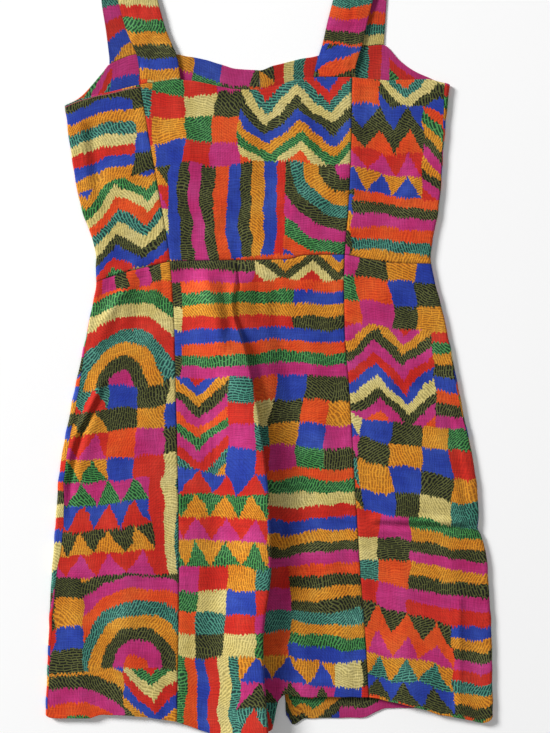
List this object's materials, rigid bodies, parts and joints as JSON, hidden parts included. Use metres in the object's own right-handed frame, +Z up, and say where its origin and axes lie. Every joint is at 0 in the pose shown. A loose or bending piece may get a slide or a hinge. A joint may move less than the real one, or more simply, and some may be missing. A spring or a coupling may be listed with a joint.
{
  "type": "mini dress",
  "caption": "Sleeveless mini dress on wide straps with princess seams, a waist seam and a soft front fold, laid flat with the front up.",
  "frame": {"origin": "under the middle of the dress's bounding box, on the surface that it lies on", "axes": "+Y from hem to shoulders, +X to the right of someone looking at the front, +Z up from the surface through back and front"},
  "size_m": [0.4928, 0.906, 0.0162],
  "materials": {
    "printed_linen": "matte plain weave with slubs, printed in tomato red, orange, ochre, pale yellow, magenta, cobalt blue, teal, green and dark olive"
  },
  "bodies": {
    "root": {"bodice_front_center": "printed_linen", "bodice_front_side_left": "printed_linen", "bodice_front_side_right": "printed_linen", "bodice_back_left": "printed_linen", "bodice_back_right": "printed_linen", "skirt_front_center": "printed_linen", "skirt_front_side_left": "printed_linen", "skirt_front_side_right": "printed_linen", "skirt_back_left": "printed_linen", "skirt_back_right": "printed_linen", "strap_front_left": "printed_linen", "strap_front_right": "printed_linen", "strap_back_left": "printed_linen", "strap_back_right": "printed_linen"}
  },
  "joints": []
}
